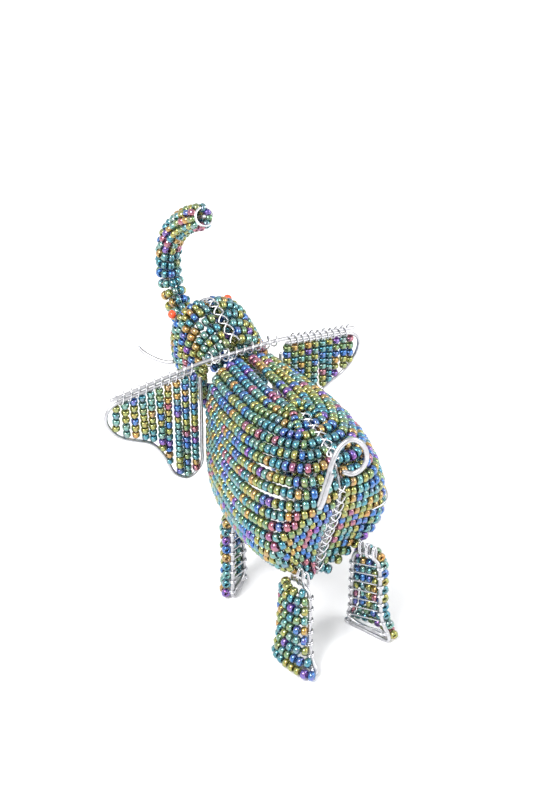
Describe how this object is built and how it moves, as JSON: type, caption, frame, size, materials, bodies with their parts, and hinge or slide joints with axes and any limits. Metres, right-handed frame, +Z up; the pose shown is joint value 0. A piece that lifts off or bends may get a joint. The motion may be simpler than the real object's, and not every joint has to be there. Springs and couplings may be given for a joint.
{
  "type": "wire and bead elephant figure",
  "caption": "Standing elephant figure of galvanised wire and glass seed beads: hollow beaded body, raised trunk, ears on a neck bar, laced legs, curled wire tail.",
  "frame": {"origin": "on the floor, under the middle of the box round the whole elephant", "axes": "+Z up, the elephant faces -Y, its left side is +X"},
  "size_m": [0.0886, 0.1218, 0.1131],
  "materials": {
    "frame_wire": "galvanised, dull bright",
    "binding_wire": "bright thin wire",
    "iris_beads": "opaque glass with a metallic iris coating",
    "eye_beads": "opaque gloss"
  },
  "bodies": {
    "figure": {"back_beads_left": "iris_beads", "back_beads_right": "iris_beads", "flank_beads_left": "iris_beads", "flank_beads_right": "iris_beads", "haunch_beads_left": "iris_beads", "haunch_beads_right": "iris_beads", "chest_beads": "iris_beads", "rump_seam_wire": "frame_wire", "spine_wire": "frame_wire", "shoulder_hoop": "frame_wire", "barrel_hoop": "frame_wire", "belly_rail_left": "frame_wire", "belly_rail_right": "frame_wire", "rump_lashing_upper": "binding_wire", "rump_lashing_lower": "binding_wire", "haunch_tie": "binding_wire", "leg_frame_hind_left": "frame_wire", "foot_beads_hind_left": "iris_beads", "leg_beads_hind_left": "iris_beads", "leg_lacing_hind_left": "binding_wire", "leg_frame_hind_right": "frame_wire", "foot_beads_hind_right": "iris_beads", "leg_beads_hind_right": "iris_beads", "leg_lacing_hind_right": "binding_wire", "leg_frame_fore_left": "frame_wire", "foot_beads_fore_left": "iris_beads", "leg_beads_fore_left": "iris_beads", "leg_lacing_fore_left": "binding_wire", "leg_frame_fore_right": "frame_wire", "foot_beads_fore_right": "iris_beads", "leg_beads_fore_right": "iris_beads", "leg_lacing_fore_right": "binding_wire", "neck_bar": "frame_wire", "neck_lashing": "binding_wire", "head_beads_left": "iris_beads", "head_beads_right": "iris_beads", "eye_left": "eye_beads", "eye_right": "eye_beads", "head_lashing": "binding_wire", "trunk_beads_lower": "iris_beads", "trunk_beads_upper": "iris_beads", "trunk_core_wire": "frame_wire", "trunk_tip_loop": "binding_wire", "tusk_left": "frame_wire", "tusk_right": "frame_wire"},
    "left_ear": {"ear_frame_left": "frame_wire", "ear_beads_left": "iris_beads", "ear_lashing_left": "binding_wire"},
    "right_ear": {"ear_frame_right": "frame_wire", "ear_beads_right": "iris_beads", "ear_lashing_right": "binding_wire"},
    "tail": {"tail_wire": "frame_wire"}
  },
  "joints": [
    {"name": "left_ear_swing", "type": "hinge", "parent": "figure", "child": "left_ear", "pos_m": [0.01185, -0.00743, 0.07473], "axis": [-0.9917, 0, 0.1289], "range_deg": [0, 15]},
    {"name": "right_ear_swing", "type": "hinge", "parent": "figure", "child": "right_ear", "pos_m": [-0.01495, -0.00743, 0.07473], "axis": [-0.9897, 0, -0.143], "range_deg": [0, 15]},
    {"name": "tail_swing", "type": "hinge", "parent": "figure", "child": "tail", "pos_m": [-0.00155, 0.05317, 0.06953], "axis": [0, 1, 0], "range_deg": [-15, 15]}
  ]
}
